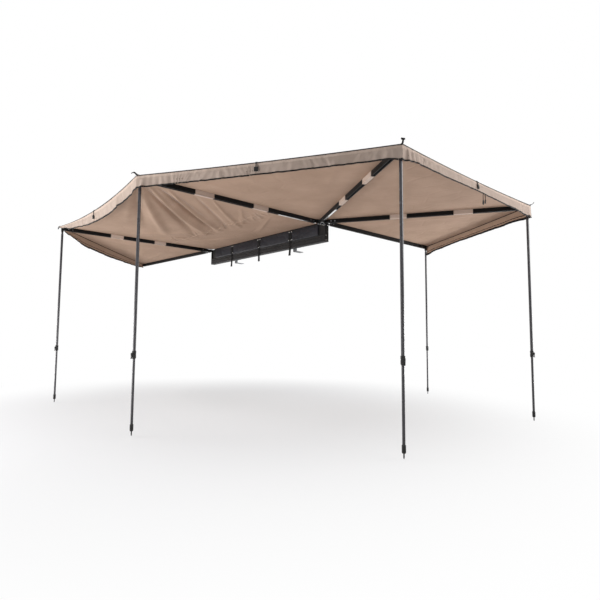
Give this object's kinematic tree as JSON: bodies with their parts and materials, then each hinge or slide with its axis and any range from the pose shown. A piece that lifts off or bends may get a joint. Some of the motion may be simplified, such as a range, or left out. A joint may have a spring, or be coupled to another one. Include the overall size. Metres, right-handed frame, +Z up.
{
  "type": "pull-out awning",
  "caption": "Fan awning that opens around a vehicle's side and rear: hinged aluminium arms on a roof rail, tan canvas panels with a valance, telescopic legs with spiked feet.",
  "frame": {"origin": "on the rail's rear mounting face, at the middle of its length and between its two T-slots", "axes": "+X from the awning in across the vehicle's roof, +Y forward along the rail, +Z up"},
  "size_m": [4.0821, 6.117, 2.0061],
  "materials": {
    "rail_black": "black powder coat, satin",
    "arm_black": "black anodised, satin",
    "casting_black": "black coated casting",
    "plain_aluminium": "plain, rolled",
    "zinc_steel": "zinc plated",
    "bracket_zinc": "zinc plated sheet",
    "leg_charcoal": "charcoal powder coat",
    "nylon_black": "moulded, matte",
    "canvas_tan": "coated ripstop canvas",
    "vinyl_charcoal": "PVC-coated cloth",
    "webbing_black": "woven webbing with a moulded buckle"
  },
  "bodies": {
    "case": {"back_rail": "rail_black", "rear_hinge_bracket": "casting_black", "front_hinge_bracket": "casting_black", "bag": "vinyl_charcoal", "bag_strap_rear": "webbing_black", "bag_strap_middle": "webbing_black", "bag_strap_front": "webbing_black", "roof_bracket_rear": "bracket_zinc", "roof_bracket_front": "bracket_zinc", "pin_a": "zinc_steel", "pin_b": "zinc_steel", "canopy_side": "canvas_tan"},
    "arm_a": {"arm_a_channel": "arm_black", "arm_a_root": "casting_black", "arm_a_tip": "casting_black", "pin_f": "zinc_steel", "canopy_front": "canvas_tan"},
    "arm_b": {"arm_b_channel": "arm_black", "arm_b_root": "casting_black", "arm_b_tip": "casting_black", "pin_c": "zinc_steel", "stiffener_b": "plain_aluminium", "canopy_rear_1": "canvas_tan"},
    "arm_c": {"arm_c_channel": "arm_black", "arm_c_root": "casting_black", "arm_c_tip": "casting_black", "pin_d": "zinc_steel", "stiffener_c": "plain_aluminium", "canopy_rear_2": "canvas_tan"},
    "arm_d": {"arm_d_channel": "arm_black", "arm_d_root": "casting_black", "arm_d_tip": "casting_black", "pin_e": "zinc_steel", "canopy_rear_3": "canvas_tan"},
    "arm_e": {"arm_e_channel": "arm_black", "arm_e_root": "casting_black", "arm_e_tip": "casting_black"},
    "arm_f": {"arm_f_channel": "arm_black", "arm_f_root": "casting_black", "arm_f_tip": "casting_black"},
    "leg_a": {"leg_a_upper": "leg_charcoal", "leg_a_collar": "nylon_black"},
    "leg_a_slider": {"leg_a_lower": "leg_charcoal", "leg_a_foot": "nylon_black"},
    "leg_b": {"leg_b_upper": "leg_charcoal", "leg_b_collar": "nylon_black"},
    "leg_b_slider": {"leg_b_lower": "leg_charcoal", "leg_b_foot": "nylon_black"},
    "leg_c": {"leg_c_upper": "leg_charcoal", "leg_c_collar": "nylon_black"},
    "leg_c_slider": {"leg_c_lower": "leg_charcoal", "leg_c_foot": "nylon_black"},
    "leg_d": {"leg_d_upper": "leg_charcoal", "leg_d_collar": "nylon_black"},
    "leg_d_slider": {"leg_d_lower": "leg_charcoal", "leg_d_foot": "nylon_black"},
    "leg_e": {"leg_e_upper": "leg_charcoal", "leg_e_collar": "nylon_black"},
    "leg_e_slider": {"leg_e_lower": "leg_charcoal", "leg_e_foot": "nylon_black"}
  },
  "joints": [
    {"name": "arm_a_hinge", "type": "hinge", "parent": "case", "child": "arm_a", "pos_m": [-0.078, 1.14, 0.095], "axis": [0, 0, -1], "range_deg": [-90, 0], "deforming": ["canopy_side"]},
    {"name": "arm_f_hinge", "type": "hinge", "parent": "arm_a", "child": "arm_f", "pos_m": [-0.078, 1.175, 0.095], "axis": [0, 0, -1], "range_deg": [-87, 0], "deforming": ["canopy_front"]},
    {"name": "arm_b_hinge", "type": "hinge", "parent": "case", "child": "arm_b", "pos_m": [-0.148, -1.14, 0.095], "axis": [0, 0, 1], "range_deg": [-90, 0], "deforming": ["canopy_side"]},
    {"name": "arm_c_hinge", "type": "hinge", "parent": "arm_b", "child": "arm_c", "pos_m": [-0.148, -1.175, 0.095], "axis": [0, 0, 1], "range_deg": [-60, 0], "deforming": ["canopy_rear_1"]},
    {"name": "arm_d_hinge", "type": "hinge", "parent": "arm_c", "child": "arm_d", "pos_m": [-0.11769, -1.1925, 0.095], "axis": [0, 0, 1], "range_deg": [-60, 0], "deforming": ["canopy_rear_2"]},
    {"name": "arm_e_hinge", "type": "hinge", "parent": "arm_d", "child": "arm_e", "pos_m": [-0.08738, -1.175, 0.095], "axis": [0, 0, 1], "range_deg": [-60, 0], "deforming": ["canopy_rear_3"]},
    {"name": "leg_a_fold", "type": "hinge", "parent": "arm_a", "child": "leg_a", "pos_m": [-2.058, 1.14, 0.058], "axis": [0, 1, 0], "range_deg": [-90, 0]},
    {"name": "leg_a_slide", "type": "slide", "parent": "leg_a", "child": "leg_a_slider", "axis": [0, 0, -1], "range_m": [-0.47, 0.25]},
    {"name": "leg_b_fold", "type": "hinge", "parent": "arm_b", "child": "leg_b", "pos_m": [-2.128, -1.14, 0.058], "axis": [0, 1, 0], "range_deg": [-90, 0]},
    {"name": "leg_b_slide", "type": "slide", "parent": "leg_b", "child": "leg_b_slider", "axis": [0, 0, -1], "range_m": [-0.47, 0.25]},
    {"name": "leg_c_fold", "type": "hinge", "parent": "arm_c", "child": "leg_c", "pos_m": [-1.138, -2.88973, 0.058], "axis": [-0.866, 0.5, 0], "range_deg": [-90, 0]},
    {"name": "leg_c_slide", "type": "slide", "parent": "leg_c", "child": "leg_c_slider", "axis": [0, 0, -1], "range_m": [-0.47, 0.25]},
    {"name": "leg_d_fold", "type": "hinge", "parent": "arm_d", "child": "leg_d", "pos_m": [0.87231, -2.90723, 0.058], "axis": [-0.866, -0.5, 0], "range_deg": [-90, 0]},
    {"name": "leg_d_slide", "type": "slide", "parent": "leg_d", "child": "leg_d_slider", "axis": [0, 0, -1], "range_m": [-0.47, 0.25]},
    {"name": "leg_e_fold", "type": "hinge", "parent": "arm_e", "child": "leg_e", "pos_m": [1.89262, -1.175, 0.058], "axis": [0, -1, 0], "range_deg": [-90, 0]},
    {"name": "leg_e_slide", "type": "slide", "parent": "leg_e", "child": "leg_e_slider", "axis": [0, 0, -1], "range_m": [-0.47, 0.25]}
  ]
}
